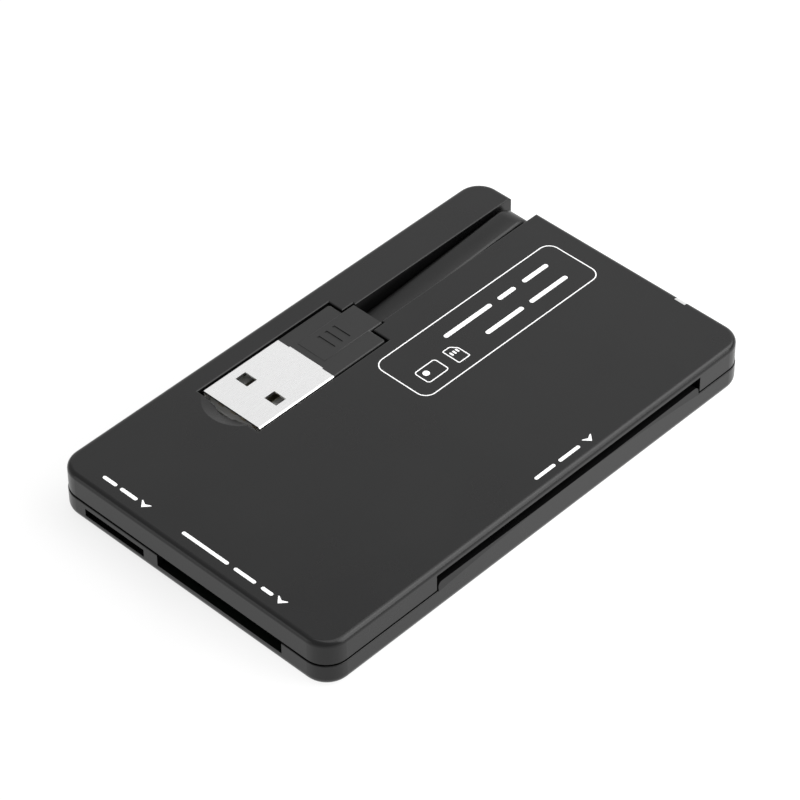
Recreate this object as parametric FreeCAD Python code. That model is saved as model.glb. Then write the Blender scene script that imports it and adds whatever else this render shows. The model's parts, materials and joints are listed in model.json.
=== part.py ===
"""Pocket card reader: two snapped half shells, three card slots and a plug that folds out on a flat cable.

Millimetres, +Z up, origin at the middle of the underside. +X points to the end where the cable folds over,
+Y to the side with the plug bay, and the chip card goes in at the -Y side.
"""
import FreeCAD, Part
import math
import os

Vector = FreeCAD.Vector
X_AXIS = Vector(1, 0, 0)
Y_AXIS = Vector(0, 1, 0)
Z_AXIS = Vector(0, 0, 1)

# Housing, in plan
housing_length = 89.2
housing_width = 54.8
corner_radius = 4.0
upper_wall = 1.3
upper_setback = 0.1
top_edge_radius = 0.85
bottom_edge_radius = 1.4

# Housing, stacked from the underside to the top
floor_wall = 1.1
socket_room = 3.15
board_thickness = 0.8
contact_block_height = 0.65
card_slot_height = 1.35
top_wall = 1.25

# Seam between the shells
seam_below_board = 0.22
seam_gap = 0.24
seam_edge_radius = 0.12
rim_thickness = 0.6
rim_height = 0.8
rim_clearance = 0.05
catch_length = 4.0
catch_radius = 0.2
catch_below_rim = 0.33

# Chip card slot in the long side
chip_slot_from_end = 21.97
chip_slot_width = 56.55
lip_end_gap = 0.3
lip_drop = 0.3
lip_corner_radius = 0.8
lip_bow_radius = 2600.0
lip_lean_deg = 5.5
guide_rib = 1.0

# Memory card slots in the short end
memory_slot_middle = -6.07
memory_slot_width = 24.9
memory_slot_height = 1.98
small_slot_gap = 2.82
small_slot_width = 12.2
small_slot_height = 1.4
small_slot_bottom = 1.7

# Plug
plug_from_end = 25.37
plug_from_side = 10.27
plug_width = 12.0
plug_thickness = 4.5
plug_corner_radius = 0.6
plug_sheet = 0.3
plug_exposed = 15.37
plug_buried = 1.3
plug_sink = 0.1
window_length = 2.05
window_width = 2.45
window_spacing = 6.05
window_from_tip = 5.02
tongue_thickness = 1.84
tongue_setback = 0.2
tongue_slack = 0.05
tongue_base = 2.6
contact_width = 1.0
contact_sheet = 0.2
contact_spans = (2.0, 7.0)

# Grip moulded round the back of the plug
boot_width = 11.85
boot_length = 10.99
boot_corner_radius = 0.45
boot_edge_radius = 0.3
neck_length = 2.32
neck_width = 6.0
neck_recess = 0.3
panel_rise = 0.08
panel_inset = 0.15
panel_from_front = 1.35
relief_width = 6.9
relief_depth = 0.2
grip_groove_count = 3
grip_groove_pitch = 1.6
grip_groove_width = 0.5
grip_groove_length = 3.4
grip_groove_depth = 0.12

# Bay and cable channel in the upper shell
tub_wall = 1.0
tub_floor = 0.8
tip_gap = 0.72
shoulder_gap = 0.27
side_gap = 0.375
neck_side_gap = 0.25
bay_floor_gap = 0.2
bay_edge_radius = 0.2
bay_edge_facet_count = 3
channel_width = 5.5
channel_shift = 0.22
rail_end_radius = 0.2
scoop_radius = 5.9
scoop_depth = 1.2
scoop_ahead = 3.25
scoop_shift = 0.5
scoop_wall = 1.0
scoop_recess_radius = 3.9
scoop_recess_depth = 2.1
scoop_recess_wall = 0.6

# Flat cable
cable_width = 4.6
cable_thickness = 1.7
cable_edge_flat = 0.02
cable_floor_gap = 0.05
cable_below_top = 0.22
cable_inside_end = 0.6
cable_drop = 0.8
cable_tail = 4.7
nose_gap = 0.375
nose_length = 4.2
tail_headroom = 0.25
anchor_length = 3.0
anchor_shoulder = 0.6
wire_diameter = 0.8
wire_pitch = 1.1
wire_count = 4
wire_bend = 2.0
wire_reach = 1.1
guide_wall = 0.8

# Light window
light_width = 2.0
light_from_side = 12.45
light_depth = 1.1
light_foot = 1.5
light_gap = 0.05
led_length = 1.6
led_width = 0.8
led_height = 0.6

# Board and its posts
board_gap = 0.4
post_radius = 1.8
pin_radius = 0.75
pin_gap = 0.1
pin_height = 1.3
post_inset_x = 5.8
rest_length = 11.6
post_inset_y = 4.8

# Sockets and springs
socket_wall = 1.0
socket_sheet = 0.15
socket_front_gap = 0.1
memory_socket_depth = 22.0
small_socket_depth = 14.5
memory_contacts = 9
memory_pitch = 2.5
small_contacts = 8
small_pitch = 1.1
spring_sheet = 0.15
spring_width = 1.2
spring_length = 5.2
spring_lift = 0.45
spring_slot_gap = 0.3
small_spring_width = 0.6
chip_contact_row_count = 4
chip_field_from_stop = 15.06
chip_field_offset = 3.1
chip_row_pitch = 2.54
chip_column_pitch = 7.62
card_stop_gap = 0.4

# Chips and small parts on the board
chip_height = 1.4
chip_stand = 0.1
lead_sheet = 0.15
lead_width = 0.3
lead_reach = 1.0
controller_size = 7.0
controller_pitch = 0.8
controller_lead_count = 8
interface_length = 3.9
interface_width = 6.2
interface_pitch = 0.65
interface_lead_count = 8
crystal_length = 5.0
crystal_width = 3.2
crystal_height = 1.0
crystal_flange = 0.25
passive_length = 1.6
passive_width = 0.8
passive_pitch = 1.6
capacitor_height = 0.8
capacitor_count = 6
resistor_height = 0.45
resistor_count = 8

# How solids are joined and cut: walls of one moulding run into each other by the lap, cuts run past the
# outside by the overcut, and edges within the touch of a level count as lying on it
lap = 0.1
overcut = 1.0
touch = 1e-4

# Values that follow from the sizes above
lower_wall = upper_setback + upper_wall
half_length = housing_length / 2
half_width = housing_width / 2
board_bottom = floor_wall + socket_room
board_top = board_bottom + board_thickness
lip_top = board_top + contact_block_height
ceiling = lip_top + card_slot_height
top = ceiling + top_wall
seam = board_bottom - seam_below_board
lower_top = seam - seam_gap / 2
upper_bottom = seam + seam_gap / 2
rim_top = lower_top + rim_height
inner_x = half_length - lower_wall
inner_y = half_width - lower_wall

plug_y = half_width - plug_from_side
plug_z = top - plug_sink - plug_thickness / 2
tip_x = plug_from_end - half_length
boot_front = tip_x + plug_exposed
boot_back = boot_front + boot_length
neck_back = boot_back + neck_length
plug_inside = plug_width - 2 * plug_sheet
tongue_half = plug_inside / 2 - tongue_slack
base_half = plug_thickness / 2 - plug_sheet - tongue_slack
tongue_bottom = plug_z - base_half
tongue_top = tongue_bottom + tongue_thickness
boot_bottom = plug_z - plug_thickness / 2
boot_top = plug_z + plug_thickness / 2
panel_top = boot_top + panel_rise

bay_x0 = tip_x - tip_gap
bay_x1 = boot_back + shoulder_gap
neck_bay_x1 = neck_back + shoulder_gap
bay_half = boot_width / 2 + side_gap
neck_bay_half = neck_width / 2 + neck_side_gap
bay_floor = boot_bottom - bay_floor_gap
channel_y = plug_y + channel_shift
channel_y0 = channel_y - channel_width / 2
channel_y1 = channel_y + channel_width / 2

tail_z = floor_wall + cable_floor_gap + cable_thickness / 2
lead_z = top - cable_below_top - cable_thickness / 2
fold_radius = (lead_z - tail_z) / 2
fold_z = (lead_z + tail_z) / 2
fold_x = half_length - cable_inside_end - fold_radius - cable_thickness / 2
cable_exit_z = plug_z - cable_drop
tail_x = fold_x - cable_tail
channel_bottom = tail_z + cable_thickness / 2 + tail_headroom
channel_floor = channel_bottom + tub_floor

chip_slot_x0 = chip_slot_from_end - half_length
chip_slot_x1 = chip_slot_x0 + chip_slot_width
memory_slot_y0 = memory_slot_middle - memory_slot_width / 2
memory_slot_y1 = memory_slot_middle + memory_slot_width / 2
small_slot_y0 = memory_slot_y1 + small_slot_gap
small_slot_y1 = small_slot_y0 + small_slot_width
small_slot_top = small_slot_bottom + small_slot_height
socket_front = socket_front_gap - inner_x

board_y1 = plug_y - bay_half - tub_wall - board_gap
wing_x1 = bay_x0 - tub_wall - board_gap
light_y = light_from_side - half_width
electronics_x = (socket_front + chip_slot_x0 - guide_rib) / 2
electronics_y = memory_slot_middle


def block(x0, x1, y0, y1, z0, z1):
    """Box between two corners."""
    return Part.makeBox(x1 - x0, y1 - y0, z1 - z0, Vector(x0, y0, z0))


def pad(x, y, length, width, z0, z1):
    """Box about an upright line, between two levels."""
    return block(x - length / 2, x + length / 2, y - width / 2, y + width / 2, z0, z1)


def edges_along(shape, axis):
    """Straight edges that run with an axis."""
    return [edge for edge in shape.Edges
            if abs(edge.tangentAt(edge.FirstParameter).dot(axis)) > 1 - touch]


def plate(inset, z0, z1):
    """Slab with the housing's rounded outline, drawn in from it by an inset."""
    body = block(inset - half_length, half_length - inset, inset - half_width, half_width - inset, z0, z1)
    return body.makeFillet(corner_radius - inset, edges_along(body, Z_AXIS))


def edges_at_height(shape, z):
    """Edges that lie wholly in one level plane."""
    return [edge for edge in shape.Edges
            if abs(edge.BoundBox.ZMin - z) < touch and abs(edge.BoundBox.ZMax - z) < touch]


def outline(points, z):
    """Closed polygon at a height."""
    corners = [Vector(x, y, z) for x, y in points]
    return Part.makePolygon(corners + corners[:1])


def prism(points, z0, z1):
    """Upright solid on a polygon."""
    return Part.Face(outline(points, z0)).extrude(Vector(0, 0, z1 - z0))


def tube_section(width, thickness, radius, x, y, z):
    """Face with rounded corners, square to X, centred on a point."""
    body = block(x, x + overcut, y - width / 2, y + width / 2, z - thickness / 2, z + thickness / 2)
    rounded = body.makeFillet(radius, edges_along(body, X_AXIS))
    return [face for face in rounded.Faces if face.BoundBox.XMax < x + touch][0]


def bent_strip(points, sheet, width):
    """Folded sheet: a line of points in the XZ plane, thickened to both sides and given a width along Y."""
    count = len(points)
    sides = ([], [])
    for i in range(count):
        before = points[max(i - 1, 0)]
        after = points[min(i + 1, count - 1)]
        here = points[i]
        back = Vector(here[0] - before[0], 0, here[1] - before[1])
        ahead = Vector(after[0] - here[0], 0, after[1] - here[1])
        back = ahead if back.Length == 0 else back
        ahead = back if ahead.Length == 0 else ahead
        back.normalize()
        ahead.normalize()
        mitre = Vector(-back.z - ahead.z, 0, back.x + ahead.x)
        mitre.normalize()
        reach = sheet / 2 / (mitre.x * -back.z + mitre.z * back.x)
        for side, sign in zip(sides, (1, -1)):
            side.append(Vector(here[0], -width / 2, here[1]) + mitre * (reach * sign))
    corners = sides[0] + sides[1][::-1]
    return Part.Face(Part.makePolygon(corners + corners[:1])).extrude(Vector(0, width, 0))


def placed(shape, x, y, z, turn=0):
    """Copy of a shape turned about Z and moved."""
    copy = shape.copy()
    copy.Placement = FreeCAD.Placement(Vector(x, y, z), FreeCAD.Rotation(Z_AXIS, turn))
    return copy


def row(count, pitch):
    """Evenly spaced places about zero."""
    return [(i - (count - 1) / 2) * pitch for i in range(count)]


def save(name, shape):
    """Write one node."""
    shape.exportStep("parts/%s.step" % name)


def post_places():
    """Where the lower shell's pins hold the board, clear of the sockets and of the chip card."""
    right = half_length - post_inset_x
    left = wing_x1 - board_gap - post_radius
    return [
        (right, post_inset_y - half_width),
        (right, board_y1 - post_radius - board_gap),
        (-right, memory_slot_y0 - socket_wall - socket_sheet - board_gap - post_radius),
        (left, half_width - lower_wall - post_inset_y),
    ]


def catches(grow):
    """Rounded ridges along the outside of the rim, let out for the grooves that they snap into."""
    face_x = half_length - lower_wall + rim_thickness
    face_y = half_width - lower_wall + rim_thickness
    z = rim_top - catch_below_rim
    radius = catch_radius + grow
    length = catch_length + 2 * grow
    beside_slot = (chip_slot_x0 - guide_rib + corner_radius - half_length) / 2
    small_slot_middle = (small_slot_y0 + small_slot_y1) / 2
    along_x = [(beside_slot, -face_y), (-half_length / 2, face_y), (half_length / 2, face_y)]
    along_y = [(-face_x, small_slot_middle), (face_x, 0)]
    ridges = [Part.makeCylinder(radius, length, Vector(x - length / 2, y, z), X_AXIS) for x, y in along_x]
    ridges += [Part.makeCylinder(radius, length, Vector(x, y - length / 2, z), Y_AXIS) for x, y in along_y]
    return ridges


def bay_outline(grow):
    """Plan of the bay, the neck's recess and the channel as one polygon, let out on all sides."""
    end = half_length + overcut
    low = [
        (bay_x0 - grow, plug_y - bay_half - grow),
        (bay_x1 + grow, plug_y - bay_half - grow),
        (bay_x1 + grow, channel_y - neck_bay_half - grow),
        (neck_bay_x1 + grow, channel_y - neck_bay_half - grow),
        (neck_bay_x1 + grow, channel_y0 - grow),
        (end, channel_y0 - grow),
    ]
    high = [
        (end, channel_y1 + grow),
        (neck_bay_x1 + grow, channel_y1 + grow),
        (neck_bay_x1 + grow, channel_y + neck_bay_half + grow),
        (bay_x1 + grow, channel_y + neck_bay_half + grow),
        (bay_x1 + grow, plug_y + bay_half + grow),
        (bay_x0 - grow, plug_y + bay_half + grow),
    ]
    return low + high


def bay_edge():
    """Facets that round the upper edge of the bay and the channel."""
    turn = math.pi / 2 / bay_edge_facet_count
    facets = []
    for i in range(bay_edge_facet_count):
        levels = []
        for angle in (i * turn, (i + 1) * turn):
            drop = bay_edge_radius * (1 - math.sin(angle))
            levels.append((bay_edge_radius * (1 - math.cos(angle)), top - drop))
        (grow0, z0), (grow1, z1) = levels
        if i == bay_edge_facet_count - 1:
            grow1, z1 = 2 * grow1 - grow0, 2 * z1 - z0
        rings = [outline(bay_outline(grow0), z0), outline(bay_outline(grow1), z1)]
        facets.append(Part.makeLoft(rings, True, True))
    return facets


def upper_envelope():
    """Outside of the upper shell, with its rounded top edge and a broken edge at the seam."""
    body = plate(upper_setback, upper_bottom, top)
    body = body.makeFillet(top_edge_radius, edges_at_height(body, top))
    return body.makeFillet(seam_edge_radius, edges_at_height(body, upper_bottom))


def light_space(gap):
    """Room of the light window: a slot through the top edge and a foot under the top wall."""
    y0 = light_y - light_width / 2 - gap
    y1 = light_y + light_width / 2 + gap
    window_x = half_length - light_depth - gap
    foot_bottom = board_top + led_height + light_gap - gap
    window = block(window_x, half_length + overcut, y0, y1, foot_bottom, top + overcut)
    foot = block(window_x - light_foot, half_length + overcut, y0, y1, foot_bottom, ceiling - light_gap + gap)
    return window.fuse(foot)


def upper_shell():
    """Cover with the plug's tub, the cable channel with its nose, the finger scoop and the card slot."""
    shell = upper_envelope()
    shell = shell.cut(plate(lower_wall, 0, ceiling))
    rabbet = lower_wall - rim_thickness - rim_clearance
    shell = shell.cut(plate(rabbet, 0, rim_top))

    bay = block(bay_x0 - tub_wall, bay_x1 + tub_wall, plug_y - bay_half - tub_wall,
                plug_y + bay_half + tub_wall, bay_floor - tub_floor, ceiling + lap)
    neck = block(bay_x1, neck_bay_x1 + tub_wall, channel_y - neck_bay_half - tub_wall,
                 channel_y + neck_bay_half + tub_wall, bay_floor - tub_floor, ceiling + lap)
    channel = block(neck_bay_x1, fold_x, channel_y0 - tub_wall, channel_y1 + tub_wall,
                    channel_bottom, ceiling + lap)
    cheek_low = block(fold_x - nose_length, inner_x - rim_clearance, channel_y0 - tub_wall,
                      channel_y1 + tub_wall, channel_bottom, rim_top)
    cheek_high = block(fold_x - nose_length, half_length - upper_setback - top_edge_radius / 2,
                       channel_y0 - tub_wall, channel_y1 + tub_wall, rim_top, ceiling + lap)
    scoop_x = bay_x0 + scoop_ahead
    scoop_sphere = (scoop_radius ** 2 + scoop_depth ** 2) / (2 * scoop_depth)
    scoop_centre = Vector(scoop_x, plug_y + scoop_shift, top - scoop_depth + scoop_sphere)
    backing = Part.makeSphere(scoop_sphere + scoop_wall, scoop_centre)
    backing = backing.common(block(-half_length, bay_x0, plug_y - bay_half - tub_wall,
                                   plug_y + bay_half + tub_wall, bay_floor, ceiling + lap))
    recess_floor = Vector(scoop_x, plug_y + scoop_shift, top - scoop_recess_depth)
    boss_foot = recess_floor - Z_AXIS * scoop_recess_wall
    boss = Part.makeCylinder(scoop_recess_radius + scoop_recess_wall, ceiling + lap - boss_foot.z, boss_foot)
    for piece in (bay, neck, channel, cheek_low, cheek_high, backing, boss):
        shell = shell.fuse(piece)

    for x0 in (chip_slot_x0 - guide_rib, chip_slot_x1):
        rib = block(x0, x0 + guide_rib, -inner_y - lap, plug_y - bay_half - tub_wall + lap,
                    board_top + board_gap, ceiling + lap)
        shell = shell.fuse(rib)
    for x, y in post_places():
        post = Part.makeCylinder(post_radius, ceiling + lap - board_top, Vector(x, y, board_top))
        socket = Part.makeCylinder(pin_radius + pin_gap, pin_height + pin_gap, Vector(x, y, board_top))
        shell = shell.fuse(post).cut(socket)

    nose_radius = fold_radius - cable_thickness / 2 - nose_gap
    plan = bay_outline(0)
    open_bay = prism(plan, channel_floor, top + overcut)
    deep_bay = block(bay_x0, bay_x1, plug_y - bay_half, plug_y + bay_half, bay_floor, top)
    deep_neck = block(bay_x0, neck_bay_x1, channel_y - neck_bay_half, channel_y + neck_bay_half,
                      bay_floor, top)
    gap_at_fold = block(fold_x, half_length + overcut, channel_y0, channel_y1, 0, top)
    scoop = Part.makeSphere(scoop_sphere, scoop_centre)
    scoop = scoop.common(block(-half_length, bay_x0, plug_y - bay_half, plug_y + bay_half, 0, top + overcut))
    recess = Part.makeCylinder(scoop_recess_radius, scoop_recess_depth + overcut, recess_floor)
    chip_slot = block(chip_slot_x0, chip_slot_x1, -half_width - overcut, -inner_y + lap, 0, ceiling)
    corner = half_length - upper_setback - rail_end_radius
    rail_end = block(corner, half_length + overcut, channel_y1 - overcut, channel_y1 + rail_end_radius,
                     0, top + overcut)
    rail_end = rail_end.cut(Part.makeCylinder(rail_end_radius, top + overcut,
                                              Vector(corner, channel_y1 + rail_end_radius, 0)))
    cuts = [open_bay, deep_bay, deep_neck, gap_at_fold, scoop, recess, chip_slot, rail_end]
    for piece in cuts + bay_edge() + catches(rim_clearance) + [light_space(light_gap)]:
        shell = shell.cut(piece)

    nose = Part.makeCylinder(nose_radius, channel_width, Vector(fold_x, channel_y0, fold_z), Y_AXIS)
    saddle = block(fold_x - nose_length, fold_x, channel_y0, channel_y1, fold_z - nose_radius,
                   fold_z + nose_radius)
    return shell.fuse(nose).fuse(saddle).removeSplitter()


def lower_shell():
    """Tray with the rim, the memory card slots, the lip of the chip card slot and the board's posts."""
    shell = plate(0, 0, lower_top)
    shell = shell.makeFillet(bottom_edge_radius, edges_at_height(shell, 0))
    shell = shell.makeFillet(seam_edge_radius, edges_at_height(shell, lower_top))
    shell = shell.cut(plate(lower_wall, floor_wall, top))
    rim = plate(lower_wall - rim_thickness, lower_top - rim_thickness, rim_top)
    rim = rim.cut(plate(lower_wall, 0, top))
    rim = rim.cut(block(chip_slot_x0 - guide_rib, chip_slot_x1 + guide_rib, -half_width, 0, lower_top, top))
    rim = rim.cut(block(0, half_length, channel_y0 - 2 * tub_wall, channel_y1 + 2 * tub_wall, lower_top, top))
    shell = shell.multiFuse([rim] + catches(0))

    lip_x0 = chip_slot_x0 + lip_end_gap
    lip_x1 = chip_slot_x1 - lip_end_gap
    lip_edge = lip_top - lip_drop
    lip = block(lip_x0, lip_x1, -half_width, -inner_y, lower_top - rim_thickness, lip_edge)
    ends = [edge for edge in lip.Edges
            if edge.BoundBox.XLength < touch and edge.BoundBox.ZMin > lip_edge - touch]
    lip = lip.makeFillet(lip_corner_radius, ends)
    lean = math.radians(lip_lean_deg)
    axis = Vector(0, math.sin(lean), math.cos(lean))
    front = Vector((lip_x0 + lip_x1) / 2, -half_width, lip_edge)
    middle = front + Vector(0, math.cos(lean), -math.sin(lean)) * lip_bow_radius
    reach = housing_width
    bow = Part.makeCylinder(lip_bow_radius, 2 * reach, middle - axis * reach, axis)
    shell = shell.fuse(lip.common(bow))

    memory_slot = block(-half_length - overcut, lap - inner_x, memory_slot_y0, memory_slot_y1,
                        lower_top - memory_slot_height, rim_top + overcut)
    small_slot = block(-half_length - overcut, lap - inner_x, small_slot_y0, small_slot_y1,
                       small_slot_bottom, small_slot_top)
    notch = block(inner_x - lap, half_length + overcut, channel_y0, channel_y1, floor_wall, top)
    for piece in (memory_slot, small_slot, notch):
        shell = shell.cut(piece)

    for x, y in post_places():
        post = Part.makeCylinder(post_radius, socket_room + lap, Vector(x, y, floor_wall - lap))
        pin = Part.makeCylinder(pin_radius, board_thickness + pin_height, Vector(x, y, board_bottom))
        shell = shell.fuse(post).fuse(pin)
    rest_x = (chip_slot_x0 + chip_slot_x1) / 2
    for y in (board_y1 - board_gap - guide_wall, post_inset_y - half_width):
        rest = pad(rest_x, y + guide_wall / 2, rest_length, guide_wall, floor_wall - lap, board_bottom)
        shell = shell.fuse(rest)

    guide_top = channel_bottom - cable_floor_gap
    for y in (channel_y0 - guide_wall, channel_y1):
        guide = block(tail_x, inner_x + lap, y, y + guide_wall, floor_wall - lap, guide_top)
        shell = shell.fuse(guide)
    for y in (channel_y0 - guide_wall, channel_y1 - anchor_shoulder):
        stop = block(tail_x - anchor_length - guide_wall, tail_x - anchor_length, y,
                     y + guide_wall + anchor_shoulder, floor_wall - lap, guide_top)
        shell = shell.fuse(stop)
    return shell.removeSplitter()


def light_pipe():
    """Clear white window, flush with the rounded top edge."""
    inside = light_space(0)
    return inside.common(upper_envelope()).removeSplitter()


def circuit_board():
    """L-shaped board beside the tub, with a hole for each pin."""
    x0 = board_gap - inner_x
    plan = [
        (x0, board_gap - inner_y),
        (inner_x - board_gap, board_gap - inner_y),
        (inner_x - board_gap, board_y1),
        (wing_x1, board_y1),
        (wing_x1, inner_y - board_gap),
        (x0, inner_y - board_gap),
    ]
    board = prism(plan, board_bottom, board_top)
    board = board.common(plate(lower_wall + board_gap, board_bottom, board_top))
    for x, y in post_places():
        board = board.cut(Part.makeCylinder(pin_radius + pin_gap, top, Vector(x, y, 0)))
    return board


def plug_shell():
    """Steel tube with two windows in each wide side, and a tab that lies in the grip's front edge."""
    outer = tube_section(plug_width, plug_thickness, plug_corner_radius, tip_x, plug_y, plug_z)
    inner = tube_section(plug_inside, plug_thickness - 2 * plug_sheet, plug_corner_radius - plug_sheet,
                         tip_x, plug_y, plug_z)
    tube = outer.extrude(X_AXIS * plug_exposed).cut(inner.extrude(X_AXIS * plug_exposed))
    window_x = tip_x + window_from_tip + window_length / 2
    for y in row(2, window_spacing):
        tube = tube.cut(pad(window_x, plug_y + y, window_length, window_width, 0, top))
    tab = block(boot_front, boot_front + relief_depth, plug_y - relief_width / 2, plug_y + relief_width / 2,
                boot_top - plug_sheet, boot_top)
    return tube.fuse(tab).removeSplitter()


def base_section(x):
    """Section of the insulator's base, which is also the hole in the grip."""
    return tube_section(2 * tongue_half, 2 * base_half, plug_corner_radius - plug_sheet, x, plug_y, plug_z)


def plug_tongue():
    """Insulator: a flat tongue on the lower side of the tube, on a base that enters the grip."""
    back = boot_front + plug_buried
    front = back - tongue_base
    tongue = block(tip_x + tongue_setback, front + lap, plug_y - tongue_half, plug_y + tongue_half,
                   tongue_bottom, tongue_top)
    low_edges = [edge for edge in edges_along(tongue, X_AXIS) if edge.BoundBox.ZMax < tongue_bottom + touch]
    tongue = tongue.makeFillet(plug_corner_radius - plug_sheet, low_edges)
    base = base_section(front).extrude(X_AXIS * tongue_base)
    return tongue.fuse(base).removeSplitter()


def plug_contacts():
    """Strips on the upper face of the tongue."""
    x0 = tip_x + tongue_setback + contact_width
    x1 = boot_front + plug_buried - tongue_base
    strips = []
    for span in contact_spans:
        for y in row(2, span):
            strips.append(pad((x0 + x1) / 2, plug_y + y, x1 - x0, contact_width,
                              tongue_top, tongue_top + contact_sheet))
    return Part.makeCompound(strips)


def plug_boot():
    """Grip flush with the tube: a raised panel that runs on into the neck, and cross grooves in it."""
    wide = block(boot_front, boot_back, plug_y - boot_width / 2, plug_y + boot_width / 2,
                 boot_bottom, boot_top)
    back_corners = [edge for edge in edges_along(wide, Z_AXIS) if edge.BoundBox.XMin > boot_back - touch]
    wide = wide.makeFillet(boot_corner_radius, back_corners)
    rims = [edge for z in (boot_bottom, boot_top) for edge in edges_at_height(wide, z)
            if edge.BoundBox.XMax > boot_front + touch]
    wide = wide.makeFillet(boot_edge_radius, rims)
    neck = block(boot_back - boot_corner_radius, neck_back, channel_y - neck_width / 2,
                 channel_y + neck_width / 2, boot_bottom + neck_recess, panel_top)
    boot = wide.fuse(neck.makeFillet(boot_edge_radius, edges_along(neck, X_AXIS)))
    panel_x0 = boot_front + panel_from_front
    panel_half = neck_width / 2 - panel_inset
    panel = block(panel_x0, boot_back, channel_y - panel_half, channel_y + panel_half, plug_z, panel_top)
    front_edge = [edge for edge in edges_along(panel, Y_AXIS)
                  if edge.BoundBox.XMax < panel_x0 + touch and edge.BoundBox.ZMin > panel_top - touch]
    boot = boot.fuse(panel.makeChamfer(panel_rise, front_edge))
    groove_x = (panel_x0 + boot_back) / 2
    for x in row(grip_groove_count, grip_groove_pitch):
        groove = pad(groove_x + x, channel_y, grip_groove_width, grip_groove_length,
                     panel_top - grip_groove_depth, top)
        boot = boot.cut(groove)
    relief = block(boot_front - overcut, boot_front + relief_depth, plug_y - relief_width / 2,
                   plug_y + relief_width / 2, boot_top - plug_sheet, top)
    return boot.cut(relief).cut(base_section(boot_front).extrude(X_AXIS * plug_buried)).removeSplitter()


def cable():
    """Flat lead with rounded edges: tail under the channel, fold over the end, and the run to the plug."""
    reach = math.hypot(fold_x - neck_back, fold_z - cable_exit_z)
    rise = math.asin(fold_radius / reach) + math.atan2(fold_z - cable_exit_z, fold_x - neck_back)
    edge_radius = (cable_thickness - cable_edge_flat) / 2
    section = tube_section(cable_width, cable_thickness, edge_radius, tail_x, channel_y, tail_z)
    tail = section.extrude(X_AXIS * cable_tail)
    centre = Vector(fold_x, channel_y, fold_z)
    start = section.copy()
    start.translate(X_AXIS * cable_tail)
    turn = 180 + math.degrees(rise)
    fold = start.revolve(centre, -Y_AXIS, turn)
    finish = start.copy()
    finish.rotate(centre, -Y_AXIS, turn)
    run = math.sqrt(reach ** 2 - fold_radius ** 2)
    heading = Vector(-math.cos(rise), 0, -math.sin(rise))
    lead = finish.extrude(heading * (run + cable_thickness))
    lead = lead.cut(block(tip_x, neck_back, channel_y - cable_width, channel_y + cable_width, 0, top))
    return tail.fuse(fold).fuse(lead)


def anchor_half():
    """Half width of the strain relief, which is caught behind the guide walls."""
    return channel_width / 2 + anchor_shoulder


def cable_anchor():
    """Strain relief moulded on the end of the cable."""
    return block(tail_x - anchor_length, tail_x, channel_y - anchor_half(), channel_y + anchor_half(),
                 floor_wall, channel_bottom - cable_floor_gap)


def cable_wires():
    """Cores that turn from the strain relief to the board and rise to its underside."""
    radius = wire_diameter / 2
    start_x = tail_x - anchor_length
    rise = wire_diameter
    pad_y = board_y1 - wire_reach
    wires = []
    for i, y in enumerate(row(wire_count, wire_pitch)):
        bend = wire_bend + i * wire_pitch
        run_x = start_x - wire_diameter
        first = Vector(start_x, channel_y + y, tail_z)
        turn = Vector(run_x, channel_y + y, tail_z)
        lay = Vector(run_x - bend, channel_y + y - bend, tail_z)
        lift = Vector(lay.x, pad_y + rise, tail_z)
        end = Vector(lay.x, pad_y, tail_z + rise)
        half_way = math.sin(math.pi / 4)
        mid_turn = Vector(run_x - bend * half_way, turn.y - bend * (1 - half_way), tail_z)
        mid_lift = Vector(lay.x, pad_y + rise * (1 - half_way), tail_z + rise * (1 - half_way))
        path = Part.Wire([
            Part.LineSegment(first, turn).toShape(),
            Part.Arc(turn, mid_turn, lay).toShape(),
            Part.LineSegment(lay, lift).toShape(),
            Part.Arc(lift, mid_lift, end).toShape(),
            Part.LineSegment(end, Vector(end.x, end.y, board_bottom)).toShape(),
        ])
        ring = Part.Wire(Part.makeCircle(radius, first, -X_AXIS))
        wires.append(path.makePipeShell([ring], True, False))
    return Part.makeCompound(wires)


def chip_field():
    """Middle of the chip card's contacts when the card meets the tub."""
    x = (chip_slot_x0 + chip_slot_x1) / 2 - chip_field_offset
    y = plug_y - bay_half - tub_wall - card_stop_gap - chip_field_from_stop
    return x, y


def spring_places():
    """Places of the chip contacts, in two columns."""
    x, y = chip_field()
    return [(x + dx, y + dy) for dx in row(2, chip_column_pitch)
            for dy in row(chip_contact_row_count, chip_row_pitch)]


def smart_contact_block():
    """Insulator on the board with a slot for each spring."""
    x, y = chip_field()
    half_x = chip_column_pitch / 2 + spring_length / 2 + socket_wall
    half_y = chip_contact_row_count / 2 * chip_row_pitch + socket_wall
    body = block(x - half_x, x + half_x, y - half_y, y + half_y, board_top, lip_top)
    for px, py in spring_places():
        body = body.cut(pad(px, py, spring_length + 2 * spring_slot_gap, spring_width + 2 * spring_slot_gap,
                            board_top, top))
    return body


def smart_contact_springs():
    """Eight sprung strips, soldered at one end and bowed up to the card."""
    base = spring_sheet / 2
    crown = contact_block_height + spring_lift
    points = [
        (-spring_length / 2, base),
        (-spring_length / 4, base),
        (spring_length / 8, crown),
        (spring_length / 4, crown),
        (spring_length / 2, contact_block_height / 2),
    ]
    strip = bent_strip(points, spring_sheet, spring_width)
    return Part.makeCompound([placed(strip, x, y, board_top) for x, y in spring_places()])


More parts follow.
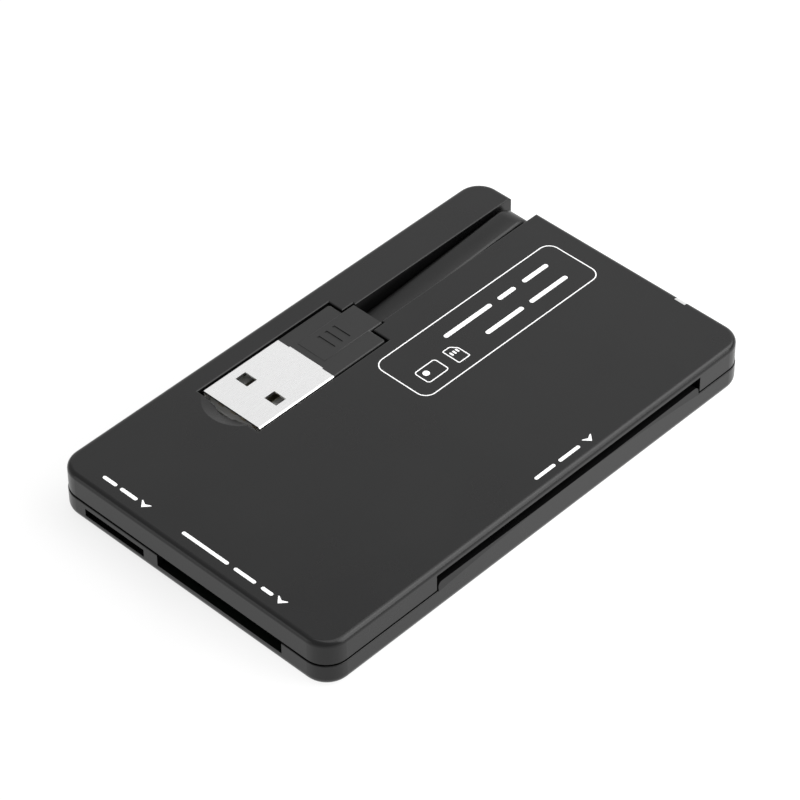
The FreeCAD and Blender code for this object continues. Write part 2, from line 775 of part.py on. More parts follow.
def card_switch():
    """Two blades that meet when a card is pushed home."""
    stop_y = plug_y - bay_half - tub_wall - card_stop_gap
    x = chip_slot_x1 - spring_length * 2
    base = spring_sheet / 2
    high = contact_block_height + spring_lift
    long_blade = bent_strip([(0, base), (spring_length / 2, base), (spring_length * 1.5, high),
                             (spring_length * 1.8, contact_block_height)], spring_sheet, spring_width)
    short_blade = bent_strip([(0, base), (spring_length / 4, base),
                              (spring_length / 2, contact_block_height / 2)], spring_sheet, spring_width)
    start_y = stop_y - spring_length * 2
    return Part.makeCompound([
        placed(long_blade, x, start_y, board_top, 90),
        placed(short_blade, x + 2 * spring_width, start_y, board_top, 90),
    ])


def memory_floor():
    """Top of the memory socket's floor, a little under the slot's lower edge."""
    return lower_top - memory_slot_height - socket_front_gap


def memory_socket_tray():
    """Insulator open to the front, closed above by the board, with a groove for each spring."""
    back = socket_front + memory_socket_depth
    z0 = floor_wall + 2 * socket_sheet
    tray = block(socket_front, back, memory_slot_y0 - socket_wall, memory_slot_y1 + socket_wall,
                 z0, board_bottom)
    tray = tray.cut(block(socket_front - overcut, back - socket_wall, memory_slot_y0, memory_slot_y1,
                          memory_floor(), board_bottom + overcut))
    groove_z = memory_floor() - spring_sheet - socket_front_gap
    for y in row(memory_contacts, memory_pitch):
        y += memory_slot_middle
        half = spring_width / 2 + socket_front_gap
        tray = tray.cut(block(back - 2 * spring_length, back + overcut, y - half, y + half,
                              groove_z, board_bottom + overcut))
    return tray


def memory_socket_shield():
    """Sheet folded round the tray, soldered to the board at both sides."""
    y0 = memory_slot_y0 - socket_wall - socket_sheet / 2
    y1 = memory_slot_y1 + socket_wall + socket_sheet / 2
    z0 = floor_wall + 1.5 * socket_sheet
    folds = [(y0, board_bottom), (y0, z0), (y1, z0), (y1, board_bottom)]
    strip = bent_strip(folds, socket_sheet, memory_socket_depth)
    return placed(strip, socket_front + memory_socket_depth / 2, 0, 0, 90)


def memory_socket_contacts():
    """Nine springs along the tray's floor, with tails up the back to the board."""
    back = socket_front + memory_socket_depth - socket_wall / 2
    low = memory_floor() - spring_sheet / 2 - socket_front_gap / 2
    crown = memory_floor() + spring_lift
    points = [
        (back, board_bottom),
        (back, low),
        (back - spring_length, low),
        (back - 1.5 * spring_length, crown),
        (back - 1.8 * spring_length, low + spring_sheet),
    ]
    strip = bent_strip(points, spring_sheet, spring_width)
    return Part.makeCompound([placed(strip, 0, memory_slot_middle + y, 0)
                              for y in row(memory_contacts, memory_pitch)])


def small_socket_base():
    """Insulator under the board, above the card, with a groove for each spring."""
    back = socket_front + small_socket_depth
    base = block(socket_front, back, small_slot_y0 - socket_front_gap, small_slot_y1 + socket_front_gap,
                 small_slot_top, board_bottom)
    for y in row(small_contacts, small_pitch):
        y += (small_slot_y0 + small_slot_y1) / 2
        half = small_spring_width / 2 + socket_front_gap
        groove_z = small_slot_top + 2 * spring_sheet
        base = base.cut(block(back - 1.5 * spring_length, back + overcut, y - half, y + half, 0, groove_z))
        base = base.cut(block(back - socket_wall, back + overcut, y - half, y + half, 0, board_bottom))
    return base


def small_socket_cover():
    """Sheet folded under the card and up both sides to the board."""
    y0 = small_slot_y0 - socket_front_gap - socket_sheet / 2
    y1 = small_slot_y1 + socket_front_gap + socket_sheet / 2
    z0 = small_slot_bottom - socket_sheet / 2
    folds = [(y0, board_bottom), (y0, z0), (y1, z0), (y1, board_bottom)]
    strip = bent_strip(folds, socket_sheet, small_socket_depth)
    return placed(strip, socket_front + small_socket_depth / 2, 0, 0, 90)


def small_socket_contacts():
    """Eight springs that bow down to the card, with tails up to the board."""
    back = socket_front + small_socket_depth - socket_wall / 2
    high = small_slot_top + spring_sheet
    crown = small_slot_top - spring_lift
    points = [
        (back, board_bottom),
        (back, high),
        (back - spring_length / 2, high),
        (back - spring_length, crown),
        (back - 1.2 * spring_length, high - spring_sheet),
    ]
    strip = bent_strip(points, spring_sheet, small_spring_width)
    middle = (small_slot_y0 + small_slot_y1) / 2
    return Part.makeCompound([placed(strip, 0, middle + y, 0) for y in row(small_contacts, small_pitch)])


def leaded_chip(length, width, pitch, sides):
    """Moulded chip with gull-wing leads: count along X sides and count along Y sides."""
    body = pad(0, 0, length, width, chip_stand, chip_height)
    middle = (chip_stand + chip_height) / 2
    lead = bent_strip([(-lead_reach / 2, middle), (lead_reach / 3, middle), (lead_reach / 2, lead_sheet / 2),
                       (lead_reach, lead_sheet / 2)], lead_sheet, lead_width)
    along_x, along_y = sides
    leads = []
    for turn, count, half in ((0, along_y, length / 2), (180, along_y, length / 2),
                              (90, along_x, width / 2), (270, along_x, width / 2)):
        for place in row(count, pitch):
            angle = math.radians(turn)
            x = half * math.cos(angle) - place * math.sin(angle)
            y = half * math.sin(angle) + place * math.cos(angle)
            leads.append(placed(lead, x, y, 0, turn))
    return body.multiFuse(leads)


def controller_chip():
    """Square controller beside the chip card's room."""
    leads = (controller_lead_count, controller_lead_count)
    chip = leaded_chip(controller_size, controller_size, controller_pitch, leads)
    return placed(chip, electronics_x, electronics_y - lead_reach, board_top)


def card_interface_chip():
    """Narrow chip that drives the chip card, on the other side of the controller from the crystal."""
    controller_edge = electronics_y - 2 * lead_reach - controller_size / 2
    chip = leaded_chip(interface_length, interface_width, interface_pitch, (0, interface_lead_count))
    return placed(chip, electronics_x, controller_edge - passive_pitch - interface_width / 2, board_top)


def crystal():
    """Clock crystal: a ceramic base with a smaller metal lid."""
    x = electronics_x
    y = electronics_y + controller_size / 2 + lead_reach + crystal_width
    lid_z = board_top + crystal_height / 2
    base = pad(x, y, crystal_length, crystal_width, board_top, lid_z)
    lid = pad(x, y, crystal_length - 2 * crystal_flange, crystal_width - 2 * crystal_flange,
              lid_z, board_top + crystal_height)
    return base.fuse(lid)


def status_led():
    """Lamp under the foot of the light window."""
    x = half_length - light_depth - light_foot / 2 - led_width / 2
    return pad(x, light_y, led_width, led_length, board_top, board_top + led_height)


def passives(x, y, count, height):
    """Row of small blocks across the board."""
    return Part.makeCompound([pad(x, y + d, passive_length, passive_width, board_top, board_top + height)
                              for d in row(count, passive_pitch)])


def chip_capacitors():
    """Capacitors beside the controller."""
    x = electronics_x + controller_size / 2 + lead_reach + passive_length
    return passives(x, electronics_y, capacitor_count, capacitor_height)


def chip_resistors():
    """Resistors on the other side of the controller."""
    x = electronics_x - controller_size / 2 - lead_reach - passive_length
    return passives(x, electronics_y, resistor_count, resistor_height)


nodes = {
    "upper_shell": upper_shell,
    "lower_shell": lower_shell,
    "light_pipe": light_pipe,
    "circuit_board": circuit_board,
    "plug_shell": plug_shell,
    "plug_tongue": plug_tongue,
    "plug_contacts": plug_contacts,
    "plug_boot": plug_boot,
    "cable": cable,
    "cable_anchor": cable_anchor,
    "cable_wires": cable_wires,
    "smart_contact_block": smart_contact_block,
    "smart_contact_springs": smart_contact_springs,
    "card_switch": card_switch,
    "memory_socket_tray": memory_socket_tray,
    "memory_socket_shield": memory_socket_shield,
    "memory_socket_contacts": memory_socket_contacts,
    "small_socket_base": small_socket_base,
    "small_socket_cover": small_socket_cover,
    "small_socket_contacts": small_socket_contacts,
    "controller_chip": controller_chip,
    "card_interface_chip": card_interface_chip,
    "crystal": crystal,
    "status_led": status_led,
    "chip_capacitors": chip_capacitors,
    "chip_resistors": chip_resistors,
}

os.makedirs("parts", exist_ok=True)
for name, make in nodes.items():
    shape = make()
    save(name, shape)
    facts = (name, len(shape.Solids), shape.Volume, shape.isValid())
    print("%-24s solids %2d  volume %9.3f  valid %s" % facts)
print("top %.3f  seam %.3f  fold x %.3f z %.3f radius %.3f" % (top, seam, fold_x, fold_z, fold_radius))
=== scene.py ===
"""Pocket card reader with a plug that folds out on a flat cable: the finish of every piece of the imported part.

Metres, in the part's own frame: +X to the end where the cable folds over, +Y to the side with the plug.
"""
import bpy
import bmesh
import json
import math
from mathutils import Matrix, Vector


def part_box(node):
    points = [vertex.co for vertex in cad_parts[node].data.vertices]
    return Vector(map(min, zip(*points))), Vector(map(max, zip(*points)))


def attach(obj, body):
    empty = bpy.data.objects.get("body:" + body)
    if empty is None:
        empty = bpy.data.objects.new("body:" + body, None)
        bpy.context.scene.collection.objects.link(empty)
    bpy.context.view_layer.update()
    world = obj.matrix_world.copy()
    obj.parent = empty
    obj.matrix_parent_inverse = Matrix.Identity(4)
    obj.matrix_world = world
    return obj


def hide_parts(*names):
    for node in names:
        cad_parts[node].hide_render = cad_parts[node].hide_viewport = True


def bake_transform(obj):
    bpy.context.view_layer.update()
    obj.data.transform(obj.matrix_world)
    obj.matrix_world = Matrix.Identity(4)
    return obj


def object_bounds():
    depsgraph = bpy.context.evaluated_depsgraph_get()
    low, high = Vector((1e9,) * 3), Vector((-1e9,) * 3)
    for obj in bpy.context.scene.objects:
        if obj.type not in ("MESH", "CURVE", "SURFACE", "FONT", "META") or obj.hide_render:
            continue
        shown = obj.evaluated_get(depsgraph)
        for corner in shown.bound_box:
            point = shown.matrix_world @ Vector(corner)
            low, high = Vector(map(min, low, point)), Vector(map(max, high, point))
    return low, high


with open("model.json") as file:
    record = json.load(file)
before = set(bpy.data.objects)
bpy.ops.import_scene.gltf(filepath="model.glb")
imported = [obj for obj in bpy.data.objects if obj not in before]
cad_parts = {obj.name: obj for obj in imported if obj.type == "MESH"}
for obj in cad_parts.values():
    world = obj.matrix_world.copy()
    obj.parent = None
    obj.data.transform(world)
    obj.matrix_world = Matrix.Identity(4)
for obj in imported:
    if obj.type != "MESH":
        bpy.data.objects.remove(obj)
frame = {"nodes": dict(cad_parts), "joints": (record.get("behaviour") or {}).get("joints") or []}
nodes = frame["nodes"]
solid_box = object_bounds()
MM = 0.001


# Lower shell. The tray of the housing, moulded in black ABS with a fine spark texture. It carries the board
# and the sockets, and the upper shell snaps on to its rim.
def node_material(name):
    """Empty material with its shader and the piece's own coordinates."""
    material = bpy.data.materials.new(name)
    material.use_nodes = True
    tree = material.node_tree
    shader = tree.nodes["Principled BSDF"]
    places = tree.nodes.new("ShaderNodeTexCoord").outputs["Object"]
    return material, tree, shader, places


def noise(tree, places, size, detail=3.0):
    """Noise with features of about the given size."""
    texture = tree.nodes.new("ShaderNodeTexNoise")
    texture.inputs["Scale"].default_value = 1 / size
    texture.inputs["Detail"].default_value = detail
    tree.links.new(places, texture.inputs["Vector"])
    return texture.outputs["Fac"]


def spread(tree, factor, low, high):
    """Number between two values, led by a noise, which itself stays mostly between 0.3 and 0.7."""
    ranged = tree.nodes.new("ShaderNodeMapRange")
    ranged.inputs["From Min"].default_value = 0.3
    ranged.inputs["From Max"].default_value = 0.7
    ranged.inputs["To Min"].default_value = low
    ranged.inputs["To Max"].default_value = high
    tree.links.new(factor, ranged.inputs["Value"])
    return ranged.outputs["Result"]


def tint(tree, factor, dark, light):
    """Colour between two colours, led by a noise."""
    mix = tree.nodes.new("ShaderNodeMix")
    mix.data_type = "RGBA"
    mix.inputs["A"].default_value = (*dark, 1)
    mix.inputs["B"].default_value = (*light, 1)
    tree.links.new(spread(tree, factor, 0, 1), mix.inputs["Factor"])
    return mix.outputs["Result"]


def relief(tree, shader, height, depth):
    """Fine surface height on a shader."""
    bump = tree.nodes.new("ShaderNodeBump")
    bump.inputs["Distance"].default_value = depth
    bump.inputs["Strength"].default_value = 1.0
    tree.links.new(height, bump.inputs["Height"])
    tree.links.new(bump.outputs["Normal"], shader.inputs["Normal"])


def moulded(name, dark, light, roughness, grain, depth, clouds=12 * MM, wander=0.012):
    """Moulded plastic: a fine grain, and a colour and gloss that wander a little over the face."""
    material, tree, shader, places = node_material(name)
    cloud = noise(tree, places, clouds)
    tree.links.new(tint(tree, cloud, dark, light), shader.inputs["Base Color"])
    tree.links.new(spread(tree, cloud, roughness - wander, roughness + wander), shader.inputs["Roughness"])
    relief(tree, shader, noise(tree, places, grain), depth)
    shader.inputs["Specular IOR Level"].default_value = 0.325
    return material


def dress(node, material):
    """Puts a material on a carried-over solid."""
    slots = nodes[node].data.materials
    slots.clear()
    slots.append(material)


shell_black = moulded("shell_black", (0.003, 0.003, 0.0031), (0.004, 0.004, 0.0041),
                      roughness=0.28, grain=0.12 * MM, depth=0.002 * MM)
dress("lower_shell", shell_black)


# Card sockets. Moulded black insulators with gilt springs, soldered to the board behind the three slots. The two
# of the short end have tin-plated sheet folded round them.
def plated(name, dark, light, roughness, streak, depth=0.0008 * MM, stretch=20, wander=0.03):
    """Plated metal, rolled along X: long faint streaks in its gloss."""
    material, tree, shader, places = node_material(name)
    shader.inputs["Metallic"].default_value = 1.0
    rolled = tree.nodes.new("ShaderNodeMapping")
    rolled.inputs["Scale"].default_value = (1 / stretch, 1, 1)
    tree.links.new(places, rolled.inputs["Vector"])
    streaks = noise(tree, rolled.outputs["Vector"], streak)
    tree.links.new(tint(tree, streaks, dark, light), shader.inputs["Base Color"])
    tree.links.new(spread(tree, streaks, roughness - wander, roughness + wander), shader.inputs["Roughness"])
    relief(tree, shader, streaks, depth)
    return material


socket_black = moulded("socket_black", (0.004, 0.004, 0.004), (0.006, 0.006, 0.006),
                       roughness=0.6, grain=0.2 * MM, depth=0.004 * MM)
tin_plate = plated("tin_plate", (0.52, 0.52, 0.53), (0.6, 0.6, 0.6), roughness=0.4, streak=0.2 * MM)
gilt = plated("gilt", (0.72, 0.56, 0.3), (0.8, 0.64, 0.36), roughness=0.3, streak=0.1 * MM)
for insulator in ("memory_socket_tray", "small_socket_base", "smart_contact_block"):
    dress(insulator, socket_black)
for sheet in ("memory_socket_shield", "small_socket_cover"):
    dress(sheet, tin_plate)
for springs in ("memory_socket_contacts", "small_socket_contacts", "smart_contact_springs", "card_switch"):
    dress(springs, gilt)


# Circuit board. Glass-fibre sheet under green lacquer, pushed over the pins of the lower shell, with the chips,
# the clock crystal, the lamp and the small parts soldered on its upper side.
def lacquered(name, dark, light, weave_pitch, patch):
    """Lacquer over a faint weave, its colour and gloss in soft patches."""
    material, tree, shader, places = node_material(name)
    weave = tree.nodes.new("ShaderNodeTexWave")
    weave.inputs["Scale"].default_value = 1 / weave_pitch
    weave.inputs["Distortion"].default_value = 1.0
    tree.links.new(places, weave.inputs["Vector"])
    patches = noise(tree, places, patch)
    tree.links.new(tint(tree, patches, dark, light), shader.inputs["Base Color"])
    tree.links.new(spread(tree, patches, 0.28, 0.38), shader.inputs["Roughness"])
    relief(tree, shader, weave.outputs["Fac"], 0.004 * MM)
    return material


def speckled(name, dark, light, roughness, speckle=0.1 * MM):
    """Fired or cast body with a fine speckle."""
    return moulded(name, dark, light, roughness, grain=speckle, depth=0.002 * MM, clouds=speckle)


board_green = lacquered("board_green", (0.012, 0.08, 0.03), (0.02, 0.12, 0.045), weave_pitch=0.8 * MM, patch=4 * MM)
chip_black = speckled("chip_black", (0.016, 0.016, 0.017), (0.024, 0.024, 0.025), roughness=0.55)
capacitor_tan = speckled("capacitor_tan", (0.34, 0.22, 0.12), (0.42, 0.28, 0.16), roughness=0.5)
lamp_white = speckled("lamp_white", (0.78, 0.78, 0.74), (0.84, 0.84, 0.8), roughness=0.4)
dress("circuit_board", board_green)
for chip in ("controller_chip", "card_interface_chip", "chip_resistors"):
    dress(chip, chip_black)
dress("chip_capacitors", capacitor_tan)
dress("crystal", tin_plate)
dress("status_led", lamp_white)


# Cable. A flat black PVC lead with four cores. Its tail is caught under the channel by a moulded strain relief,
# it folds over the end of the housing, and runs back along the channel to the grip of the plug.
cable_black = moulded("cable_black", (0.003, 0.003, 0.003), (0.004, 0.004, 0.004),
                      roughness=0.35, grain=0.25 * MM, depth=0.002 * MM)
wire_grey = moulded("wire_grey", (0.28, 0.28, 0.29), (0.34, 0.34, 0.35),
                    roughness=0.45, grain=0.2 * MM, depth=0.002 * MM)
dress("cable_anchor", cable_black)
dress("cable_wires", wire_grey)

cable_thickness = 1.7 * MM
exit_drop = 0.8 * MM
section_sides = 30
tail_steps, fold_steps, lead_steps = 3, 56, 12

fold_centre = Vector(frame["joints"][0]["pos_m"])
cable_low, cable_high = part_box("cable")
cable_width = cable_high.y - cable_low.y
fold_radius = cable_high.z - fold_centre.z - cable_thickness / 2
tail_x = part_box("cable_anchor")[1].x
tail_start = Vector((tail_x, fold_centre.y, fold_centre.z - fold_radius))

# The lead leaves the plug's neck a little below the middle of the tube, and meets the fold as a tangent.
neck_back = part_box("plug_boot")[1].x
tube_low, tube_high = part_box("plug_shell")
exit_point = Vector((neck_back, fold_centre.y, (tube_low.z + tube_high.z) / 2 - exit_drop))
to_fold = fold_centre - exit_point
lead_rise = math.asin(fold_radius / to_fold.length) + math.atan2(to_fold.z, to_fold.x)
lead_run = math.sqrt(to_fold.length ** 2 - fold_radius ** 2)
heading = Vector((-math.cos(lead_rise), 0, -math.sin(lead_rise)))


def draw_out(bm, edges, shift, steps):
    """Carries an open ring of edges along a straight line."""
    for _ in range(steps):
        grown = bmesh.ops.extrude_edge_only(bm, edges=edges)["geom"]
        moved = [part for part in grown if isinstance(part, bmesh.types.BMVert)]
        edges = [part for part in grown if isinstance(part, bmesh.types.BMEdge)]
        bmesh.ops.translate(bm, verts=moved, vec=shift / steps)
    return edges


def piece_from(bm, name, material, smooth_deg=35, weld=1e-8):
    """Finished piece, its faces smooth up to an angle."""
    bmesh.ops.remove_doubles(bm, verts=bm.verts[:], dist=weld)
    bmesh.ops.recalc_face_normals(bm, faces=bm.faces[:])
    mesh = bpy.data.meshes.new(name)
    bm.to_mesh(mesh)
    bm.free()
    mesh.shade_smooth()
    mesh.set_sharp_from_angle(angle=math.radians(smooth_deg))
    mesh.materials.append(material)
    piece = bpy.data.objects.new(name, mesh)
    bpy.context.scene.collection.objects.link(piece)
    return piece


bm = bmesh.new()
upright = Matrix.Translation(tail_start) @ Matrix.Rotation(math.pi / 2, 4, "Y")
half_step = Matrix.Rotation(math.pi / section_sides, 4, "Z")
bmesh.ops.create_circle(bm, segments=section_sides, radius=cable_thickness / 2, matrix=upright @ half_step)
for vertex in bm.verts:
    vertex.co.y += math.copysign(cable_width / 2 - cable_thickness / 2, vertex.co.y - fold_centre.y)
ring = draw_out(bm, bm.edges[:], Vector((fold_centre.x - tail_x, 0, 0)), tail_steps)
ring_verts = list({vertex for edge in ring for vertex in edge.verts})
fold = bmesh.ops.spin(bm, geom=ring_verts + ring, cent=fold_centre, axis=(0, -1, 0),
                      angle=math.pi + lead_rise, steps=fold_steps)
ring = [part for part in fold["geom_last"] if isinstance(part, bmesh.types.BMEdge)]
draw_out(bm, ring, heading * (lead_run + cable_thickness), lead_steps)
bmesh.ops.bisect_plane(bm, geom=bm.verts[:] + bm.edges[:] + bm.faces[:], dist=1e-9, plane_co=exit_point,
                       plane_no=(-1, 0, 0), clear_outer=True)
bmesh.ops.holes_fill(bm, edges=[edge for edge in bm.edges if edge.is_boundary], sides=0)
flat_cable = piece_from(bm, "flat_cable", cable_black)
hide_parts("cable")
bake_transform(flat_cable)


# Upper shell. The cover of the housing in the same black ABS, with the plug's bay, the cable channel and the
# finger scoop moulded in. It snaps on to the rim of the lower shell.
dress("upper_shell", shell_black)


# Print. A thin coat of white ink, pad-printed on the flat top of the cover: a rounded frame, an arrow head at each
# slot, bars, and two signs of a card. Its places are in millimetres.
ink_white, ink_tree, ink_shader, ink_places = node_material("ink_white")
ink_cover = noise(ink_tree, ink_places, 0.15 * MM)
ink_tree.links.new(tint(ink_tree, ink_cover, (0.82, 0.82, 0.82), (0.9, 0.9, 0.9)), ink_shader.inputs["Base Color"])
ink_tree.links.new(spread(ink_tree, ink_cover, 0.5, 0.6), ink_shader.inputs["Roughness"])
relief(ink_tree, ink_shader, ink_cover, 0.002 * MM)

ink_depth = 0.03 * MM
ink_proud = 0.01 * MM
ink_base = solid_box[1].z + ink_proud - ink_depth
line_width = 0.19 * MM


def box_corners(x0, x1, y0, y1):
    """Corners of an upright rectangle."""
    return [(x0, y0), (x1, y0), (x1, y1), (x0, y1)]


def flat_shape(bm, corners):
    """Face on the print's level through a few corners."""
    return bm.faces.new([bm.verts.new((x * MM, y * MM, ink_base)) for x, y in corners])


def rounded(bm, face, radius):
    """Rounds the corners of a flat face and gives it back."""
    bmesh.ops.bevel(bm, geom=face.verts[:], offset=radius * MM, offset_type="OFFSET", affect="VERTICES",
                    segments=8, profile=0.5, material=-1)
    return bm.faces[:][0]


def gather(bm, shape):
    """Adds one shape to a print."""
    mesh = bpy.data.meshes.new("shape")
    shape.to_mesh(mesh)
    shape.free()
    bm.from_mesh(mesh)
    bpy.data.meshes.remove(mesh)


def bar(bm, x0, x1, y0, y1, roundness=0.48):
    """Bar with round ends."""
    shape = bmesh.new()
    rounded(shape, flat_shape(shape, box_corners(x0, x1, y0, y1)), roundness * min(x1 - x0, y1 - y0))
    gather(bm, shape)


def outlined(bm, corners, radius):
    """Line round a rounded outline, drawn inside it."""
    shape = bmesh.new()
    face = rounded(shape, flat_shape(shape, corners), radius)
    bmesh.ops.inset_region(shape, faces=[face], thickness=line_width, use_boundary=True, use_even_offset=True)
    bmesh.ops.delete(shape, geom=[face], context="FACES")
    gather(bm, shape)


def printed(bm, name):
    """Ink of a real thickness, printed on the cover."""
    bmesh.ops.recalc_face_normals(bm, faces=bm.faces[:])
    grown = bmesh.ops.extrude_face_region(bm, geom=bm.faces[:])["geom"]
    lifted = [part for part in grown if isinstance(part, bmesh.types.BMVert)]
    bmesh.ops.translate(bm, verts=lifted, vec=(0, 0, ink_depth))
    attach(piece_from(bm, name, ink_white), "housing")


frame_print = bmesh.new()
outlined(frame_print, box_corners(1.69, 40.355, -2.225, 8.705), radius=1.95)
printed(frame_print, "print_frame")

# Each arrow head: where its tip is, and which way it points. Its outline: how far back from the tip, and aside.
arrow_tips = ((-42.3, 11.7, -1, 0), (-42.4, -15.8, -1, 0), (11.76, -25.59, 0, -1))
arrow_outline = ((0, 0), (1.08, 0.96), (1.19, 0.83), (0.76, 0), (1.19, -0.83), (1.08, -0.96))
arrow_print = bmesh.new()
for tip_x, tip_y, along_x, along_y in arrow_tips:
    flat_shape(arrow_print, [(tip_x - along_x * back - along_y * aside, tip_y - along_y * back + along_x * aside)
                             for back, aside in arrow_outline])
printed(arrow_print, "print_arrows")

# Each line of bars: its two sides, then where its bars begin and end.
lines_along_x = (
    (0.9, 1.7, ((18.4, 26.5), (28.1, 36.3))),
    (4.85, 5.65, ((13.5, 23.7), (25.3, 29.0), (30.8, 36.3))),
    (-25.3, -24.7, ((0.2, 4.4), (5.3, 9.7))),
)
lines_along_y = (
    (-42.0, -41.4, ((13.2, 16.6), (17.4, 20.2))),
    (-42.05, -41.45, ((-14.2, -12.0), (-10.8, -6.6), (-5.4, 3.8))),
)
bar_print = bmesh.new()
for y0, y1, bars in lines_along_x:
    for x0, x1 in bars:
        bar(bar_print, x0, x1, y0, y1)
for x0, x1, bars in lines_along_y:
    for y0, y1 in bars:
        bar(bar_print, x0, x1, y0, y1)
printed(bar_print, "print_bars")

chip_card = box_corners(4.5, 9.0, -0.1, 3.1)
memory_card = [(10.8, -0.3), (13.3, -0.3), (13.3, 2.2), (12.4, 3.3), (10.8, 3.3)]
contact_width = 0.35
sign_print = bmesh.new()
outlined(sign_print, chip_card, radius=0.6)
bar(sign_print, 5.3, 6.4, 1.2, 2.3)
outlined(sign_print, memory_card, radius=0.3)
for contact_x in (11.3, 11.9, 12.5):
    bar(sign_print, contact_x, contact_x + contact_width, 1.5, 2.3)
printed(sign_print, "print_card_signs")


# Light window. A pipe of white translucent ABS over the status lamp, pressed into a notch in the top edge of the
# upper shell.
window_white, window_tree, window_shader, window_places = node_material("window_white")
window_cloud = noise(window_tree, window_places, 1.5 * MM)
window_tree.links.new(tint(window_tree, window_cloud, (0.46, 0.46, 0.46), (0.5, 0.5, 0.5)),
                      window_shader.inputs["Base Color"])
window_tree.links.new(spread(window_tree, window_cloud, 0.3, 0.4), window_shader.inputs["Roughness"])
window_shader.inputs["Subsurface Weight"].default_value = 0.4
window_shader.inputs["Subsurface Radius"].default_value = (1.2 * MM, 1.2 * MM, 1.2 * MM)
dress("light_pipe", window_white)


# Plug. A nickel-plated steel tube with four windows, round a white insulator with four gilt strips, and a grip
# moulded over its back end in soft black PVC.
nickel_steel = plated("nickel_steel", (0.73, 0.73, 0.73), (0.75, 0.75, 0.75),
                      roughness=0.28, streak=0.12 * MM, depth=0.0002 * MM)
pale_gilt = plated("pale_gilt", (0.62, 0.56, 0.44), (0.68, 0.62, 0.5), roughness=0.35, streak=0.1 * MM)
tongue_white = moulded("tongue_white", (0.66, 0.66, 0.65), (0.72, 0.72, 0.71),
                       roughness=0.5, grain=0.2 * MM, depth=0.003 * MM)
boot_black = moulded("boot_black", (0.01, 0.01, 0.01), (0.012, 0.012, 0.012),
                     roughness=0.38, grain=0.15 * MM, depth=0.003 * MM)
dress("plug_tongue", tongue_white)
dress("plug_contacts", pale_gilt)


def joined_copy(node, weld=1e-7):
    """Copy of a carried-over solid with its loose triangles joined."""
    bm = bmesh.new()
    bm.from_mesh(nodes[node].data)
    bmesh.ops.remove_doubles(bm, verts=bm.verts[:], dist=weld)
    return bm


def plug_piece(bm, name, material, node, flat_along=0.9999):
    """Piece of the plug in place of its solid: bends are smooth, and faces along an axis stay flat."""
    piece = piece_from(bm, name, material)
    for face in piece.data.polygons:
        face.use_smooth = max(abs(part) for part in face.normal) < flat_along
    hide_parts(node)
    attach(piece, "plug")


# The tube's four long bends, drawn tighter than on the solid.
tube_bend = 0.6 * MM
tighter_by = 0.25 * MM
tube_middle = (tube_low + tube_high) / 2
bend_centre = (tube_high - tube_low) / 2 - Vector((0, tube_bend, tube_bend))
bm = joined_copy("plug_shell")
for vertex in bm.verts:
    out = vertex.co - tube_middle
    round_bend = Vector((abs(out.y) - bend_centre.y, abs(out.z) - bend_centre.z))
    if min(round_bend) > -0.001 * MM:
        outward = round_bend.normalized()
        vertex.co.y += math.copysign(tighter_by * (1 - outward.x), out.y)
        vertex.co.z += math.copysign(tighter_by * (1 - outward.y), out.z)
plug_piece(bm, "plug_tube", nickel_steel, "plug_shell")

# The two long sides of the grip's raised panel, which slope in towards its top.
panel_half = 2.85 * MM
panel_slope = 0.11 * MM
panel_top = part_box("plug_boot")[1].z
bm = joined_copy("plug_boot")
for vertex in bm.verts:
    aside = vertex.co.y - fold_centre.y
    if abs(abs(aside) - panel_half) < 0.005 * MM and vertex.co.z > panel_top - 0.001 * MM:
        vertex.co.y -= math.copysign(panel_slope, aside)
plug_piece(bm, "plug_grip", boot_black, "plug_boot")


# Stage. A white table that is lit from within as well, soft boxes to the right, behind and overhead and a low
# strip on either side, seen from the photograph's angle.
table_half = 2.0
table_drop = 0.01 * MM
# The table's glow falls from full on the +X −Y side to 0.81 on the −X +Y side. This is painted shade on the table
# round the −X end of the housing, and the housing's walls mirror it.
glow_start, glow_end = -35 * MM, 21 * MM
painted_shade_glow, full_glow = 0.81, 1.0
table_with_painted_shade, table_tree, table_shader, table_places = node_material("table_with_painted_shade")
table_shader.inputs["Base Color"].default_value = (0.15, 0.15, 0.15, 1)
table_shader.inputs["Roughness"].default_value = 0.9
table_shader.inputs["Specular IOR Level"].default_value = 0.1
table_shader.inputs["Emission Color"].default_value = (1, 1, 1, 1)
across_table = table_tree.nodes.new("ShaderNodeVectorMath")
across_table.operation = "DOT_PRODUCT"
across_table.inputs[1].default_value = (math.sqrt(0.5), -math.sqrt(0.5), 0)
table_tree.links.new(table_places, across_table.inputs[0])
# Glow along the table's diagonal, weaker towards −X +Y: painted shade round the −X end of the housing.
glow_and_painted_shade = table_tree.nodes.new("ShaderNodeMapRange")
glow_and_painted_shade.inputs["From Min"].default_value = glow_start
glow_and_painted_shade.inputs["From Max"].default_value = glow_end
glow_and_painted_shade.inputs["To Min"].default_value = painted_shade_glow
glow_and_painted_shade.inputs["To Max"].default_value = full_glow
table_tree.links.new(across_table.outputs["Value"], glow_and_painted_shade.inputs["Value"])
table_tree.links.new(glow_and_painted_shade.outputs["Result"], table_shader.inputs["Emission Strength"])
bm = bmesh.new()
bmesh.ops.create_grid(bm, x_segments=1, y_segments=1, size=table_half,
                      matrix=Matrix.Translation((0, 0, solid_box[0].z - table_drop)))
table_mesh = bpy.data.meshes.new("table")
bm.to_mesh(table_mesh)
bm.free()
table_mesh.materials.append(table_with_painted_shade)
table = bpy.data.objects.new("table", table_mesh)
bpy.context.scene.collection.objects.link(table)

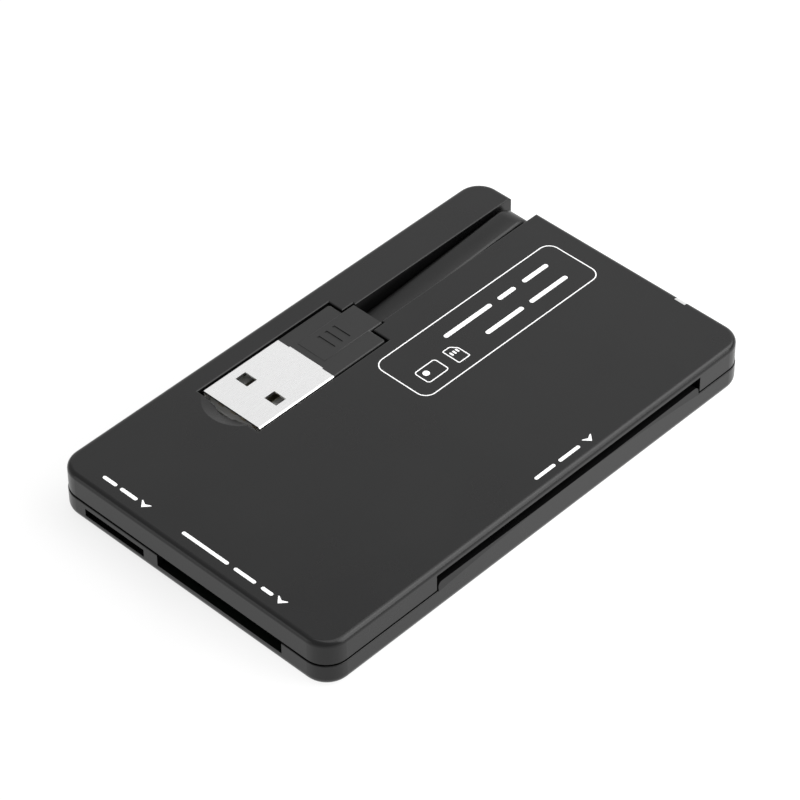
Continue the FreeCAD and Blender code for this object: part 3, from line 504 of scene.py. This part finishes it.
world = bpy.data.worlds.new("studio")
world.use_nodes = True
world.node_tree.nodes["Background"].inputs["Color"].default_value = (1, 1, 1, 1)
world.node_tree.nodes["Background"].inputs["Strength"].default_value = 0.6
bpy.context.scene.world = world


def direction(azimuth, elevation):
    """Unit vector, its azimuth counted from +X towards +Y."""
    return Vector((math.cos(azimuth) * math.cos(elevation), math.sin(azimuth) * math.cos(elevation),
                   math.sin(elevation)))


def soft_box(name, azimuth_deg, elevation_deg, distance, width, height, power):
    """Rectangular lamp that faces the object from a direction."""
    outward = direction(math.radians(azimuth_deg), math.radians(elevation_deg))
    lamp = bpy.data.lights.new(name, "AREA")
    lamp.shape = "RECTANGLE"
    lamp.size = width
    lamp.size_y = height
    lamp.energy = power
    holder = bpy.data.objects.new(name, lamp)
    holder.location = outward * distance
    holder.rotation_euler = outward.to_track_quat("Z", "Y").to_euler()
    bpy.context.scene.collection.objects.link(holder)


soft_box("box_right", -42, 45, distance=1.0, width=1.2, height=0.6, power=8.1)
soft_box("box_behind", 38, 26, distance=1.0, width=1.3, height=0.8, power=1.8)
soft_box("box_above", -10, 75, distance=1.2, width=1.0, height=1.0, power=5.9)
soft_box("strip_right", -65, 18, distance=1.0, width=0.5, height=0.36, power=2.0)
soft_box("strip_left", 152, 12, distance=1.0, width=0.4, height=0.45, power=0.7)

view_azimuth = math.radians(-135.870)
view_elevation = math.radians(42.654)
view_roll = math.radians(-0.526)
view_target = Vector((5.474 * MM, 6.807 * MM, 0))
view_distance = 0.5480
toward_camera = direction(view_azimuth, view_elevation)
level = Vector((-math.sin(view_azimuth), math.cos(view_azimuth), 0))
raised = toward_camera.cross(level)
rightward = level * math.cos(view_roll) + raised * math.sin(view_roll)
upward = raised * math.cos(view_roll) - level * math.sin(view_roll)
lens = bpy.data.cameras.new("camera")
lens.sensor_width = 36.0
lens.lens = 165.2
camera = bpy.data.objects.new("camera", lens)
camera.matrix_world = Matrix.Translation(view_target + toward_camera * view_distance) @ Matrix(
    (rightward, upward, toward_camera)).transposed().to_4x4()
bpy.context.scene.collection.objects.link(camera)
bpy.context.scene.camera = camera
bpy.context.scene.view_settings.view_transform = "Standard"
